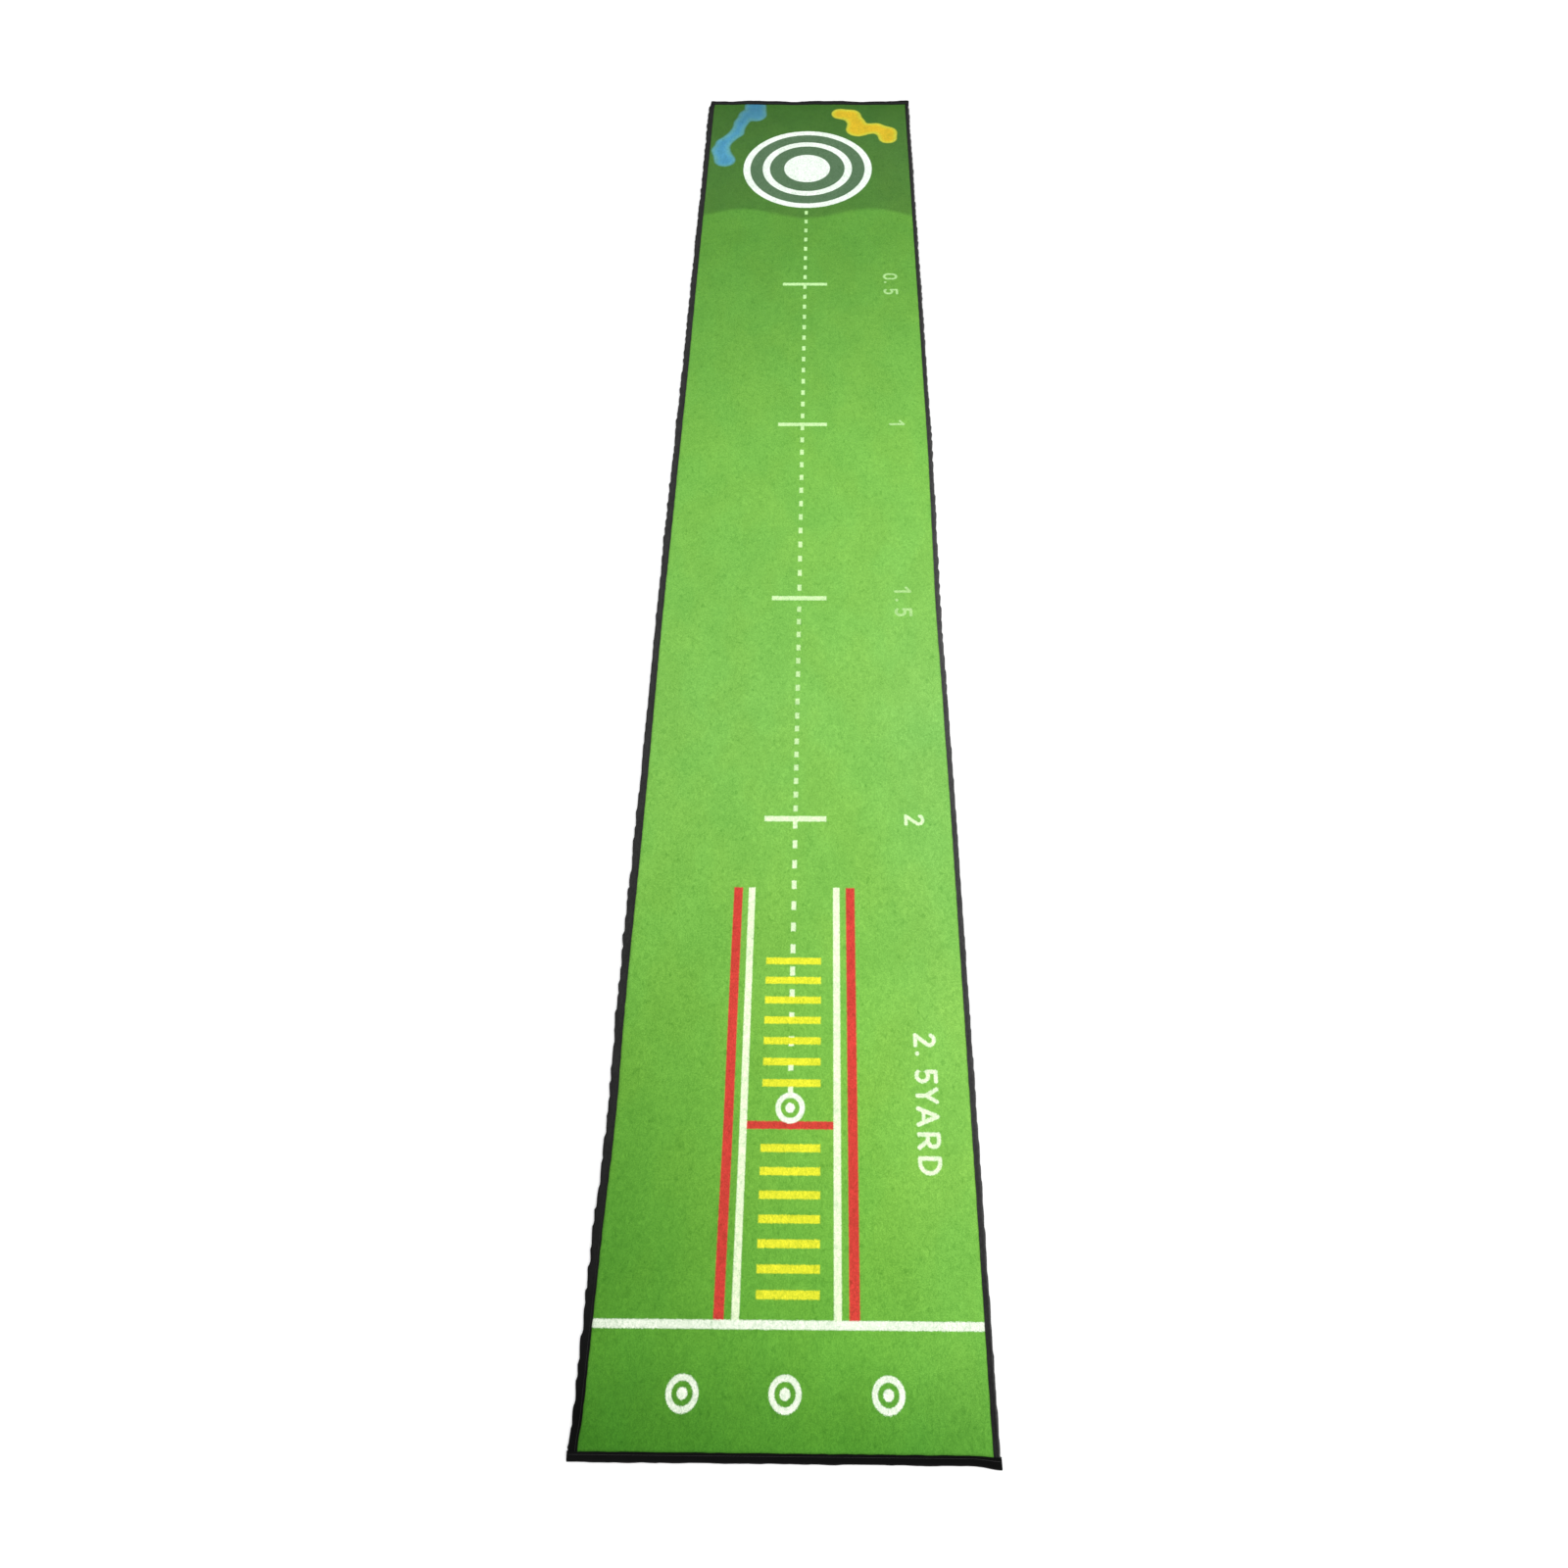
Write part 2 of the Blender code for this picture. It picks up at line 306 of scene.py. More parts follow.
class Graph:
    """A material's node tree with one Principled shader."""

    def __init__(self, name):
        self.material = bpy.data.materials.new(name)
        self.material.use_nodes = True
        self.tree = self.material.node_tree
        self.shader = self.tree.nodes["Principled BSDF"]

    def add(self, kind, **settings):
        node = self.tree.nodes.new(kind)
        for key, value in settings.items():
            setattr(node, key, value)
        return node

    def feed(self, socket, value):
        if isinstance(value, Value):
            value = value.socket
        if isinstance(value, bpy.types.NodeSocket):
            self.tree.links.new(value, socket)
        else:
            socket.default_value = value

    def math(self, name, *inputs, clamp=False):
        node = self.add("ShaderNodeMath", operation=name, use_clamp=clamp)
        for socket, value in zip(node.inputs, inputs):
            self.feed(socket, value)
        return Value(self, node.outputs[0])

    def uv(self, name):
        """The two numbers of a named UV map, in metres."""
        node = self.add("ShaderNodeUVMap", uv_map=name)
        split = self.add("ShaderNodeSeparateXYZ")
        self.feed(split.inputs[0], node.outputs[0])
        return node.outputs[0], Value(self, split.outputs[0]), Value(self, split.outputs[1])

    def scaled(self, vector, factors):
        node = self.add("ShaderNodeVectorMath", operation="MULTIPLY")
        self.feed(node.inputs[0], vector)
        node.inputs[1].default_value = factors
        return node.outputs[0]

    def noise(self, vector, scale, detail=2.0, rough=0.5, twist=0.0, colour=False):
        node = self.add("ShaderNodeTexNoise", noise_dimensions="3D")
        self.feed(node.inputs["Vector"], vector)
        node.inputs["Scale"].default_value = scale
        node.inputs["Detail"].default_value = detail
        node.inputs["Roughness"].default_value = rough
        node.inputs["Distortion"].default_value = twist
        return node.outputs["Color"] if colour else Value(self, node.outputs[0])

    def between(self, value, low, high, to_low=0.0, to_high=1.0, smooth=True):
        kind = "SMOOTHSTEP" if smooth else "LINEAR"
        node = self.add("ShaderNodeMapRange", interpolation_type=kind)
        for socket, number in zip(node.inputs, (value, low, high, to_low, to_high)):
            self.feed(socket, number)
        return Value(self, node.outputs[0])

    def mix(self, factor, a, b, blend="MIX"):
        node = self.add("ShaderNodeMix", data_type="RGBA", blend_type=blend)
        self.feed(node.inputs[0], factor)
        self.feed(node.inputs[6], a)
        self.feed(node.inputs[7], b)
        return node.outputs[2]

    def multiplied(self, colour, factor):
        return self.mix(1.0, colour, factor, "MULTIPLY")

    def joined(self, x, y, z):
        node = self.add("ShaderNodeCombineXYZ")
        for socket, value in zip(node.inputs, (x, y, z)):
            self.feed(socket, value)
        return node.outputs[0]

    def ramp(self, value, stops):
        node = self.add("ShaderNodeValToRGB")
        self.feed(node.inputs[0], value)
        elements = node.color_ramp.elements
        while len(elements) < len(stops):
            elements.new(0.5)
        for element, (at, colour) in zip(elements, stops):
            element.position = at
            element.color = colour
        return node.outputs[0]

    def tinted(self, value, green=1.0):
        """A grey multiplier; a green below 1 makes it act less on green."""
        return self.joined(value, value * green + (1 - green), value)

    def bump(self, height, distance, strength):
        node = self.add("ShaderNodeBump")
        node.inputs["Strength"].default_value = strength
        node.inputs["Distance"].default_value = distance
        self.feed(node.inputs["Height"], height)
        return node.outputs[0]

    def constants(self, **sockets):
        """Numbers and colours that are set on the shader itself."""
        for key, value in sockets.items():
            self.shader.inputs[key.replace("_", " ")].default_value = value

    def finish(self, **sockets):
        for key, value in sockets.items():
            self.feed(self.shader.inputs[key.replace("_", " ")], value)
        return self.material


def srgb(red, green, blue):
    """A display colour from 0 to 255 as the linear colour of a surface."""
    linear = []
    for c in (red / 255, green / 255, blue / 255):
        linear.append(c / 12.92 if c <= 0.04045 else ((c + 0.055) / 1.055) ** 2.4)
    return (*linear, 1.0)


def grey(level):
    return srgb(level, level, level)


# ------------------------------ the print's shapes
# Each returns a distance: negative inside, positive outside, in metres.
def within(value, low, high):
    return (value - (low + high) / 2).abs() - (high - low) / 2


def repeated(value, first, pitch):
    """A row of equal marks folded onto one: how far it is to the nearest mark's middle."""
    local = value - first
    return local - (local * (1 / pitch)).op("ROUND") * pitch


def disc(x, y, cx, cy, r):
    dx = x - cx
    dy = y - cy
    return (dx * dx + dy * dy).op("SQRT") - r


def ring(x, y, cx, cy, inner, outer):
    return disc(x, y, cx, cy, (inner + outer) / 2).abs() - (outer - inner) / 2


def bar(x, y, cx, cy, half_x, half_y):
    return ((x - cx).abs() - half_x).most((y - cy).abs() - half_y)


def stroke(x, y, ax, ay, bx, by, ra, rb=None):
    """A straight stroke from a to b with round ends, ra wide at a and rb at b."""
    dx, dy = bx - ax, by - ay
    size = dx * dx + dy * dy
    t = x.op("MULTIPLY_ADD", dx / size, -(ax * dx + ay * dy) / size)
    t = y.op("MULTIPLY_ADD", dy / size, t, clamp=True)
    px = t.op("MULTIPLY_ADD", -dx, x) - ax
    py = t.op("MULTIPLY_ADD", -dy, y) - ay
    away = (px * px + py * py).op("SQRT")
    if rb is None:
        return away - ra
    return away - t.op("MULTIPLY_ADD", rb - ra, ra)


def arc(x, y, cx, cy, r, nx, ny, cut, half):
    """The part of a ring where (p - c).n is over cut, with round ends."""
    reach = math.sqrt(r * r - cut * cut)
    ends = [(cx + nx * cut - s * ny * reach, cy + ny * cut + s * nx * reach) for s in (1, -1)]
    whole = disc(x, y, cx, cy, r).abs()
    tips = disc(x, y, *ends[0], 0.0).least(disc(x, y, *ends[1], 0.0))
    side = x.op("MULTIPLY_ADD", nx, -(cx * nx + cy * ny) - cut)
    side = y.op("MULTIPLY_ADD", ny, side).op("GREATER_THAN", 0.0)
    return whole * side + tips * (side * -1 + 1) - half


def blot(x, y, spots):
    """A soft shape through round spots, each (x, y, radius)."""
    out = None
    for (ax, ay, ra), (bx, by, rb) in zip(spots, spots[1:]):
        piece = stroke(x, y, ax, ay, bx, by, ra, rb)
        out = piece if out is None else out.op("SMOOTH_MIN", piece, 0.014)
    return out


# ------------------------------ figures and letters
# They stand on a base line along the right side and are read from the far end, so a
# figure's own across (u) is -Y and its own up (v) is +X.
FIG_BASE = 0.1824    # X of the base line
FIG_TALL = 0.0336
FIG_HALF = 0.0028    # half a stroke
FIG_LOW = FIG_HALF    # middle of a stroke at the foot, and at the top
FIG_TOP = FIG_TALL - FIG_HALF


def strokes(u, v, *lines):
    """Straight strokes of the usual width, each (ax, ay, bx, by)."""
    out = stroke(u, v, *lines[0], FIG_HALF)
    for line in lines[1:]:
        out = out.least(stroke(u, v, *line, FIG_HALF))
    return out


def figure_zero(u, v):
    r = 0.0112 - FIG_HALF
    return stroke(u, v, 0.0112, FIG_LOW + r, 0.0112, FIG_TOP - r, r).abs() - FIG_HALF


def figure_one(u, v):
    flag = stroke(u, v, 0.0, FIG_TOP, -0.0095, FIG_TOP - 0.0075, FIG_HALF * 0.85)
    return flag.least(strokes(u, v, (0.0, FIG_LOW, 0.0, FIG_TOP)))


def figure_two(u, v):
    r = 0.010 - FIG_HALF
    cx, cy = 0.0104, FIG_TOP - r
    nx, ny = math.cos(math.radians(68)), math.sin(math.radians(68))
    left, right = 0.0034, 0.0182
    bow = arc(u, v, cx, cy, r, nx, ny, 0.0, FIG_HALF)
    return bow.least(strokes(u, v, (cx + r * ny, cy - r * nx, left, FIG_LOW),
                             (left, FIG_LOW, right, FIG_LOW)))


def figure_five(u, v):
    r = 0.0112 - FIG_HALF
    cx, cy = 0.010, FIG_LOW + r
    left, right = 0.005, 0.0185
    bow = arc(u, v, cx, cy, r, 0.94, 0.0, -0.0052, FIG_HALF)
    return bow.least(strokes(u, v, (cx - 0.0052, cy + 0.0064, left, FIG_TOP),
                             (left, FIG_TOP, right, FIG_TOP)))


def figure_dot(u, v):
    return disc(u, v, 0.0, 0.0048, 0.003)


def letter_y(u, v):
    middle, fork, arm = 0.0113, 0.0155, 0.0085
    return strokes(u, v, (middle - arm, FIG_TOP, middle, fork), (middle + arm, FIG_TOP, middle, fork),
                   (middle, fork, middle, FIG_LOW))


def letter_a(u, v):
    middle, foot, cross, sill = 0.0137, 0.0109, 0.0065, 0.0105
    rail = stroke(u, v, middle - cross, sill, middle + cross, sill, FIG_HALF * 0.9)
    return rail.least(strokes(u, v, (middle - foot, FIG_LOW, middle, FIG_TOP),
                              (middle + foot, FIG_LOW, middle, FIG_TOP)))


def letter_r(u, v):
    r = 0.0078
    left, turn, right = 0.003, 0.0115, 0.0203
    waist = FIG_TOP - 2 * r
    bow = arc(u, v, turn, FIG_TOP - r, r, 1.0, 0.0, 0.0, FIG_HALF)
    return bow.least(strokes(u, v, (left, FIG_LOW, left, FIG_TOP), (left, FIG_TOP, turn, FIG_TOP),
                             (left, waist, turn, waist), (turn, waist, right, FIG_LOW)))


def letter_d(u, v):
    left, turn = 0.003, 0.008
    bow = arc(u, v, turn, FIG_TALL / 2, (FIG_TOP - FIG_LOW) / 2, 1.0, 0.0, 0.0, FIG_HALF)
    return bow.least(strokes(u, v, (left, FIG_LOW, left, FIG_TOP), (left, FIG_TOP, turn, FIG_TOP),
                             (left, FIG_LOW, turn, FIG_LOW)))


SIGNS = [    # each sign, and the Y where each copy of it starts
    (figure_five, (0.728, -0.192, -1.029)),
    (figure_two, (-0.6192, -0.978)),
    (figure_one, (0.287, -0.155)),
    (figure_zero, (0.7822,)),
    (figure_dot, (0.7502, -0.175, -1.008)),
    (letter_y, (-1.056,)),
    (letter_a, (-1.0822,)),
    (letter_r, (-1.117,)),
    (letter_d, (-1.1488,)),
]


def from_start(y, starts):
    """A sign's own across: how far y is past the start of the copy it belongs to."""
    across = y * -1 + starts[0]
    for before, after in zip(starts, starts[1:]):
        across = y.op("LESS_THAN", (before + after) / 2) * (after - before) + across
    return across


def scale_signs(x, y):
    out = None
    for sign, starts in SIGNS:
        piece = sign(from_start(y, starts), x - FIG_BASE)
        out = piece if out is None else out.least(piece)
    return out


# ------------------------------ sizes and dyes of the print
DISC_R = 0.059
RINGS = [(0.0964, 0.115), (0.1474, 0.1652)]    # inner and outer radius
INFILL_R = 0.156
WATER = [(-0.144, 1.478, 0.029), (-0.143, 1.442, 0.0275), (-0.164, 1.440, 0.0215),
         (-0.180, 1.406, 0.0165), (-0.190, 1.358, 0.0165), (-0.223, 1.312, 0.0175),
         (-0.229, 1.279, 0.0215), (-0.216, 1.236, 0.027)]
SAND = [(0.088, 1.446, 0.024), (0.115, 1.440, 0.0235), (0.129, 1.406, 0.0215),
        (0.133, 1.374, 0.029), (0.180, 1.380, 0.0205), (0.208, 1.360, 0.0245),
        (0.210, 1.335, 0.0235)]
SHORE_Y = 1.012    # where the deeper green begins, with a wave along it
SHORE_WAVE = 0.018
SHORE_PERIOD = 0.318

HALF_YARD = YARD / 2
CROSS_HALF = (0.052, 0.0048)    # half a cross mark, across and along
CROSS_RUN = (-0.720, 1.180)    # no cross outside this stretch
DASH_HALF_X = 0.0037
DASH_RUN = (-1.068, 1.036)
WIDE = (-0.6746, 0.0352, 0.007)    # one dash of a run, the pitch, half a dash
CLOSE_FAR = (-0.2262, 0.029, 0.006)   # the run between two crosses closes up in two steps
CLOSE_NEAR = (-0.4555, 0.0257, 0.0055)

RAIL_TOP = -0.750
BASE_Y = -1.355    # the base line, where the rails end
RED_X, RED_HALF = 0.0905, 0.0071
RED_SHORT = 0.0044    # the red rails stop this much short of the base line
RAIL_X = 0.0682    # the white rails
STOP_Y = -1.109    # the red bar across the lane
STOP_HALF = (0.065, 0.0054)
MARK_HALF = 0.0052    # half the width of a white rail or the base line
LADDERS = (-0.870, -1.1395)    # Y of each ladder's first rung
RUNGS = 7
RUNG_PITCH = 0.0302
RUNG_X = 0.0012    # middle of a rung
RUNG_HALF = (0.0428, 0.0052)
SPOT_Y = -1.0855    # the single ball spot, and the row of three
SPOT_ROW_Y = -1.431
SPOT_CHANGE = -1.250    # nearer than this, spots are in the row
SPOT_PITCH = 0.1327
SPOT_R = 0.0068
SPOT_RING = (0.0138, 0.0212)
SPOT_REACH = (0.05, 0.20)   # how far from the middle a spot may be: in the lane, in the row

WHITE = srgb(243, 251, 232)
COOL_WHITE = srgb(244, 251, 244)
CREAM = srgb(238, 250, 212)
RED = srgb(210, 67, 58)
YELLOW = srgb(231, 230, 54)
INFILL = srgb(87, 117, 86)
CRISP = 0.0009    # half the width of a dye's soft edge
SIDE_SHADE_REACH = 0.455    # reach of the painted left-to-right shade and light, at the side where it is strongest


# ------------------------------ velour
def ink(g, distance, soft=CRISP):
    return g.between(distance, soft, -soft)


def paint(g, colour, distance, dye, strength=1.0, soft=CRISP):
    return g.mix(ink(g, distance, soft) * strength, colour, dye)


def shaken(g, flat):
    """The points the print is drawn on: fibre by fibre a little off, which frays its edges."""
    reach = 0.002
    shake = g.add("ShaderNodeVectorMath", operation="MULTIPLY_ADD")
    g.feed(shake.inputs[0], g.noise(flat, 900.0, 1.0, colour=True))
    shake.inputs[1].default_value = (2 * reach, 2 * reach, 0.0)
    shake.inputs[2].default_value = (-reach, -reach, 0.0)
    moved = g.add("ShaderNodeVectorMath", operation="ADD")
    g.feed(moved.inputs[0], flat)
    g.feed(moved.inputs[1], shake.outputs[0])
    split = g.add("ShaderNodeSeparateXYZ")
    g.feed(split.inputs[0], moved.outputs[0])
    return Value(g, split.outputs[0]), Value(g, split.outputs[1])


def turf(g, flat, x, y, px, py, along, side_shade):
    """The greens: lightest in the middle and deeper beyond the shore, partly print and partly painted
    shade towards both ends; painted shade on the left and painted light on the right.
    """
    # partly print, partly painted shade: both ramps grow darker towards the ends of the mat
    tone = g.ramp(along, [
        (0.00, srgb(76, 142, 42)),
        (0.04, srgb(106, 172, 60)),
        (0.14, srgb(122, 182, 70)),
        (0.36, srgb(130, 190, 86)),
        (0.56, srgb(124, 186, 78)),
        (0.80, srgb(96, 156, 58)),
    ])
    deep = g.ramp(along, [
        (0.83, srgb(80, 130, 50)),
        (0.94, srgb(70, 116, 46)),
        (0.99, srgb(58, 104, 34)),
    ])
    shore = (px * (2 * math.pi / SHORE_PERIOD)).op("COSINE") * -SHORE_WAVE + SHORE_Y
    colour = g.mix(g.between(py - shore, -0.010, 0.010), tone, deep)
    # painted shade on the left and painted light on the right
    side_light_and_shade = g.between(side_shade, -SIDE_SHADE_REACH, SIDE_SHADE_REACH, 0.66, 1.30, smooth=False)
    colour = g.multiplied(colour, g.tinted(side_light_and_shade, 0.62))
    warmth = g.between(g.noise(g.scaled(flat, (11.0, 7.0, 1.0)), 1.0, 2.0), 0.38, 0.62, 0.97, 1.025)
    cooler = g.between(x, 0.08, 0.24, 0.0, 0.15) * g.between(y, 0.2, -0.6)
    return g.multiplied(colour, g.joined(warmth, 1.0, warmth * -0.6 + 1.6 + cooler))


def target(g, colour, flat, px, py):
    """Infill, water, sand, and the disc with its two rings."""
    colour = paint(g, colour, disc(px, py, 0.0, TARGET_Y, INFILL_R), INFILL)
    pond = blot(px, py, WATER)
    bunker = blot(px, py, SAND)
    cloudy = g.noise(flat, 24.0, 2.0)
    water = g.ramp(g.between(pond, -0.020, 0.0) * 0.5 + cloudy * 0.6, [
        (0.25, srgb(70, 142, 182)),
        (0.50, srgb(80, 152, 184)),
        (0.80, srgb(92, 158, 166)),
    ])
    water = g.multiplied(water, g.tinted(g.between(py, 1.34, 1.48, 1.06, 0.76)))
    sand = g.ramp(g.between(bunker, -0.016, 0.0) * 0.6 + cloudy * 0.4, [
        (0.15, srgb(222, 182, 34)),
        (0.45, srgb(221, 194, 40)),
        (0.78, srgb(204, 203, 62)),
    ])
    colour = paint(g, colour, pond, water, 0.96, 0.0038)
    colour = paint(g, colour, bunker, sand, 0.97, 0.0028)
    white = disc(px, py, 0.0, TARGET_Y, DISC_R)
    for inner, outer in RINGS:
        white = white.least(ring(px, py, 0.0, TARGET_Y, inner, outer))
    return paint(g, colour, white, COOL_WHITE)


def dashes(px, py, low, high, run):
    first, pitch, half_y = run
    mark = (px.abs() - DASH_HALF_X).most(repeated(py, first, pitch).abs() - half_y)
    return mark.most(within(py, low, high))


def centre_line(g, colour, px, py, pale):
    """Half-yard crosses, and dashes that are set closer between two of them."""
    half_x, half_y = CROSS_HALF
    cross = (px.abs() - half_x).most(repeated(py, TARGET_Y, HALF_YARD).abs() - half_y)
    cross = cross.most(within(py, *CROSS_RUN))
    third, fourth = TARGET_Y - 3 * HALF_YARD, TARGET_Y - 4 * HALF_YARD
    change = (third + fourth) / 2 - 0.035
    wide = dashes(px, py, third, DASH_RUN[1], WIDE).least(dashes(px, py, DASH_RUN[0], fourth, WIDE))
    close = dashes(px, py, change, third, CLOSE_FAR)
    close = close.least(dashes(px, py, fourth + 0.008, change, CLOSE_NEAR))
    colour = paint(g, colour, close, pale, 0.72)
    return paint(g, colour, cross.least(wide), pale)


def ladder(px, py, first):
    """Yellow rungs across the lane, from the first one towards the player."""
    half_x, half_y = RUNG_HALF
    last = first - (RUNGS - 1) * RUNG_PITCH
    spare = half_y + 0.0012
    rung = repeated(py, first, RUNG_PITCH).abs() - half_y
    rung = rung.most(within(py, last - spare, first + spare))
    return rung.most((px - RUNG_X).abs() - half_x)


def ball_spots(px, py, side):
    """One ringed spot in the lane and three beyond the base line."""
    row = py.op("LESS_THAN", SPOT_CHANGE)
    spot_x = repeated(px, 0.0, SPOT_PITCH)
    spot_y = row * (SPOT_Y - SPOT_ROW_Y) - SPOT_Y + py
    spots = disc(spot_x, spot_y, 0.0, 0.0, SPOT_R)
    spots = spots.least(ring(spot_x, spot_y, 0.0, 0.0, *SPOT_RING))
    lane_reach, row_reach = SPOT_REACH
    return spots.most(side - (row * (row_reach - lane_reach) + lane_reach))


def lane(g, colour, px, py):
    """Red and white rails, stop bar, base line, two ladders and the ball spots."""
    side = px.abs()
    middle, half = (RAIL_TOP + BASE_Y) / 2, (RAIL_TOP - BASE_Y) / 2
    reds = bar(side, py, RED_X, middle + RED_SHORT / 2, RED_HALF, half - RED_SHORT / 2)
    reds = reds.least(bar(px, py, 0.0, STOP_Y, *STOP_HALF))
    colour = paint(g, colour, reds, RED)
    colour = paint(g, colour, bar(side, py, RAIL_X, middle, MARK_HALF, half), CREAM)
    colour = paint(g, colour, (py - BASE_Y).abs() - MARK_HALF, WHITE)
    rungs = ladder(px, py, LADDERS[0]).least(ladder(px, py, LADDERS[1]))
    colour = paint(g, colour, rungs, YELLOW)
    return paint(g, colour, ball_spots(px, py, side), WHITE)


def scale_print(g, colour, px, py, along, pale):
    """The distance signs, whose print is thinner in the middle of the scale."""
    strength = g.ramp(along, [(0.30, (0.97, 0.97, 0.97, 1.0)), (0.36, (0.45, 0.45, 0.45, 1.0)),
                              (0.50, (0.45, 0.45, 0.45, 1.0)), (0.56, (0.62, 0.62, 0.62, 1.0)),
                              (0.74, (0.66, 0.66, 0.66, 1.0))])
    mask = g.multiplied(ink(g, scale_signs(px, py)).socket, strength)
    return g.mix(mask, colour, pale)


def nap(g, colour, flat, y, side_shade):
    """Brushed patches, tufts, fibre grain, fleck and fibre tips: colour, bump and roughness, with
    painted shade on the left near the player and between the fibre tips.
    """
    patches = g.noise(g.scaled(flat, (15.0, 9.0, 1.0)), 1.0, 3.0, 0.62)
    tuft = g.noise(g.scaled(flat, (150.0, 110.0, 1.0)), 1.0, 3.0, 0.70, twist=1.6)
    grain = g.noise(flat, 620.0, 2.0, 0.7)
    fleck = g.noise(g.scaled(flat, (95.0, 70.0, 1.0)), 1.0, 2.0, 0.6)
    shade = g.between(patches, 0.36, 0.64, 0.95, 1.04)
    shade = shade * g.between(tuft, 0.34, 0.66, 0.80, 1.16, smooth=False)
    shade = shade * g.between(grain, 0.30, 0.70, 0.82, 1.12, smooth=False)
    shade = shade * g.between(fleck, 0.30, 0.40, 0.82, 1.0)
    colour = g.multiplied(colour, g.tinted(shade, 0.72))
    # painted shade: the left side and the near end made darker
    painted_shade = g.between(side_shade, -SIDE_SHADE_REACH, 0.05, 0.865, 1.0, smooth=False)
    painted_shade = painted_shade * g.between(y, -1.5, -0.9, 0.90, 1.0)
    colour = g.multiplied(colour, g.tinted(painted_shade))
    fibres = g.add("ShaderNodeTexVoronoi", feature="F1")
    g.feed(fibres.inputs["Vector"], flat)
    fibres.inputs["Scale"].default_value = 1250.0
    fibres.inputs["Randomness"].default_value = 1.0
    tip = Value(g, fibres.outputs["Distance"])
    # painted highlight on the fibre tips and painted shade in the gaps between them
    colour = g.multiplied(colour, g.tinted(g.between(tip, 0.15, 0.75, 1.12, 0.80), 0.8))
    normal = g.bump(grain * 0.6 + tuft * 0.8 - tip * 0.5, 0.0012, 0.6)
    return colour, normal, g.between(tuft, 0.3, 0.7, 0.86, 0.98)


def pile_material():
    """Printed velour."""
    g = Graph("velour_print")
    flat, x, y = g.uv("flat")
    px, py = shaken(g, flat)
    along = y * (1 / LENGTH) + 0.5    # 0 at the near end, 1 at the far end
    side_shade = x * g.between(y, -1.25, -0.66, 1.75, 0.36)    # painted shade on the left and light on the right, strongest near the player
    pale = g.ramp(along, [(0.15, srgb(236, 250, 214)), (0.45, srgb(212, 244, 180)),
                          (0.80, srgb(196, 240, 166))])
    colour = turf(g, flat, x, y, px, py, along, side_shade)
    colour = target(g, colour, flat, px, py)
    colour = centre_line(g, colour, px, py, pale)
    colour = lane(g, colour, px, py)
    colour = scale_print(g, colour, px, py, along, pale)
    colour, normal, rough = nap(g, colour, flat, y, side_shade)
    g.constants(Sheen_Weight=0.07, Sheen_Roughness=0.45, Sheen_Tint=(0.84, 1.0, 0.76, 1.0),
                Specular_IOR_Level=0.05)
    return g.finish(Base_Color=colour, Roughness=rough, Normal=normal)


def tape_material(name, tones_with_painted_sheen, fold=None):
    """Black woven binding: fine cross ribs over a lengthwise warp.

    tones lists (place along the tape, grey level): the black painted lighter along the tape as a painted
    sheen. fold is (how far over the tape it starts, grey level) where the fold is painted lighter as a
    painted highlight.
    """
    g = Graph(name)
    along, s, w = g.uv("along")
    ribs = (s * (2 * math.pi / 0.00085)).op("SINE")
    warp = (w * (2 * math.pi / 0.0006)).op("SINE")
    weave = ribs * 0.35 + warp * 0.25
    lint = g.noise(along, 260.0, 3.0, 0.6)
    wear = g.noise(g.scaled(along, (30.0, 90.0, 1.0)), 1.0, 2.0)
    # painted sheen: grey levels along the tape
    colour = g.ramp(s * (1 / LENGTH) + 0.5, [(at / LENGTH + 0.5, grey(level)) for at, level in tones_with_painted_sheen])
    if fold:
        start, level = fold
        # painted highlight on the fold
        colour = g.mix(g.between(w, start - 0.0012, start + 0.0012), colour, grey(level))
    uneven = g.between(lint * 0.6 + wear * 0.4, 0.34, 0.66, 0.72, 1.28)
    colour = g.multiplied(colour, g.tinted(uneven))
    g.constants(Sheen_Weight=0.010, Sheen_Roughness=0.5, Specular_IOR_Level=0.05)
    return g.finish(Base_Color=colour, Roughness=g.between(lint, 0.3, 0.7, 0.66, 0.86),
                    Normal=g.bump(weave + lint * 0.5, 0.00022, 0.8))


def thread_material():
    """Black polyester thread: a fine twist whose ridges are painted lighter as a painted highlight."""
    g = Graph("twisted_thread")
    _, s, w = g.uv("along")
    twist = ((s * (2 * math.pi / 0.0009)) + (w * (2 * math.pi / 0.001))).op("SINE")
    # painted highlight: the twist's ridges lighter
    colour = g.ramp(twist * 0.5 + 0.5, [(0.1, srgb(15, 15, 16)), (0.9, srgb(44, 44, 45))])
    g.constants(Specular_IOR_Level=0.4)
    return g.finish(Base_Color=colour, Roughness=g.between(twist, -1.0, 1.0, 0.55, 0.38),
                    Normal=g.bump(twist, 0.00006, 0.7))


def rubber_material():
    """Matte black rubber with a fine pebbled skin and some dust on it."""
    g = Graph("grip_rubber")
    flat = g.uv("flat")[0]
    pebble = g.noise(flat, 1400.0, 2.0, 0.55)
    cloud = g.noise(g.scaled(flat, (7.0, 4.0, 1.0)), 1.0, 4.0, 0.6)
    dust = g.between(cloud, 0.48, 0.75, 0.0, 0.35)
    colour = g.mix(dust, srgb(33, 33, 35), srgb(74, 73, 70))
    colour = g.mix(g.between(pebble, 0.35, 0.7, 0.0, 0.4), colour, srgb(52, 52, 54))
    g.constants(Specular_IOR_Level=0.35)
    return g.finish(Base_Color=colour, Roughness=g.between(pebble, 0.3, 0.7, 0.70, 0.88),
                    Normal=g.bump(pebble, 0.00035, 0.7))


